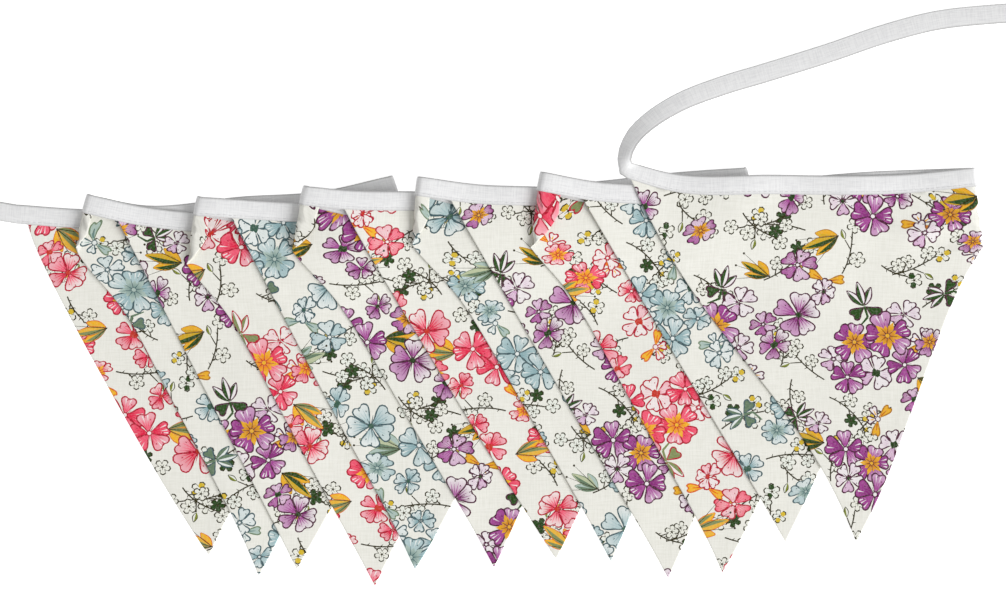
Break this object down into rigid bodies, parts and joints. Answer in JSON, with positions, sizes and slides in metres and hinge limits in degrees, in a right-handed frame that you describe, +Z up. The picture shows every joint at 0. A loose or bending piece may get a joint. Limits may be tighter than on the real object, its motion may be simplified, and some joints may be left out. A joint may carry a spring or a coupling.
{
  "type": "fabric bunting",
  "caption": "String of triangular floral cotton pennants on a white folded binding, folded back and forth into a flat overlapping bundle with two loose ties.",
  "frame": {"origin": "bottom centre of the bundle's box, on the table it lies on", "axes": "+X along the binding from the left tie towards the right tie, +Y from the pennants' tips towards the binding, +Z up"},
  "size_m": [0.639, 0.3234, 0.0254],
  "materials": {
    "pink_floral_cotton": "woven cotton, cream ground printed with pink flowers",
    "blue_floral_cotton": "woven cotton, cream ground printed with pale blue flowers",
    "purple_floral_cotton": "woven cotton, cream ground printed with purple flowers",
    "white_binding": "plain white cotton tape, matt"
  },
  "bodies": {
    "root": {"pennant_01": "pink_floral_cotton", "pennant_02": "blue_floral_cotton", "pennant_03": "purple_floral_cotton", "pennant_04": "pink_floral_cotton", "pennant_05": "blue_floral_cotton", "pennant_06": "purple_floral_cotton", "pennant_07": "pink_floral_cotton", "pennant_08": "blue_floral_cotton", "pennant_09": "purple_floral_cotton", "pennant_10": "pink_floral_cotton", "pennant_11": "blue_floral_cotton", "pennant_12": "purple_floral_cotton", "binding_tape": "white_binding"}
  },
  "joints": []
}
